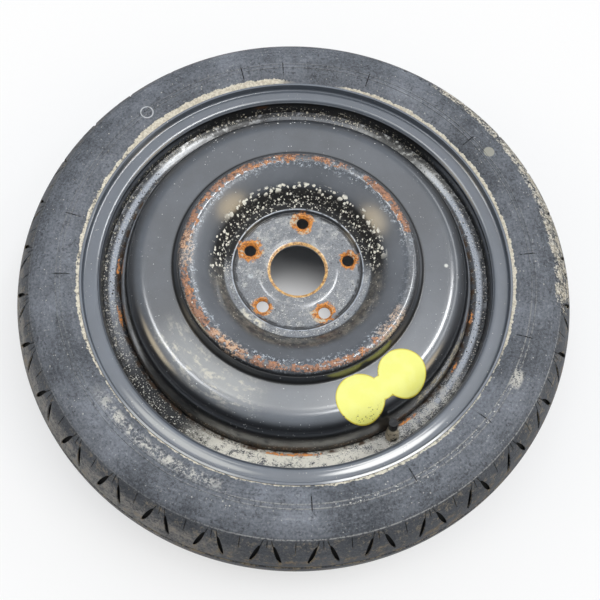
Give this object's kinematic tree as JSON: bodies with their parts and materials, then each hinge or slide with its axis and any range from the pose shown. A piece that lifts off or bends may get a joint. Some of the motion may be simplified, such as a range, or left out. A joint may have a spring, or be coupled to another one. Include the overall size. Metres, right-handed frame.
{
  "type": "space saver spare wheel",
  "caption": "Narrow temporary spare car wheel: a round-treaded tyre on a black welded steel wheel with a deeply dished bolt-on disc, a rubber snap-in valve and a yellow film sticker.",
  "frame": {"origin": "on the wheel's axis, in the plane of the face that bolts to the hub", "axes": "+Z along the wheel's axis, outboard, which is up as the wheel lies in the picture; +X to the picture's right"},
  "size_m": [0.6268, 0.6268, 0.1545],
  "materials": {
    "tyre_rubber": "dusty charcoal rubber",
    "black_paint": "glossy black enamel with rust spots and dried dirt",
    "yellow_film": "printed film, slightly glossy",
    "valve_rubber": "matte rubber under dried dirt",
    "valve_brass": "turned brass",
    "spring_steel": "bare spring wire",
    "cap_plastic": "matte black plastic"
  },
  "bodies": {
    "wheel": {"tyre": "tyre_rubber", "rim": "black_paint", "wheel_disc": "black_paint", "weld_beads": "black_paint", "speed_sticker": "yellow_film", "valve_stem": "valve_rubber", "valve_tube": "valve_brass", "valve_core_body": "valve_brass", "valve_core_seal": "valve_rubber", "valve_core_spring": "spring_steel"},
    "core_pin": {"valve_core_pin": "valve_brass"},
    "cap": {"valve_cap": "cap_plastic"}
  },
  "joints": [
    {"name": "cap_pull", "type": "slide", "parent": "wheel", "child": "cap", "axis": [-0.1103, 0.1557, 0.9816], "range_m": [0, 0.014]},
    {"name": "pin_press", "type": "slide", "parent": "wheel", "child": "core_pin", "axis": [0.1103, -0.1557, -0.9816], "range_m": [0, 0.0015], "stiffness_N_per_m": 800, "springref_m": -0.002, "deforming": ["valve_core_spring"]}
  ]
}
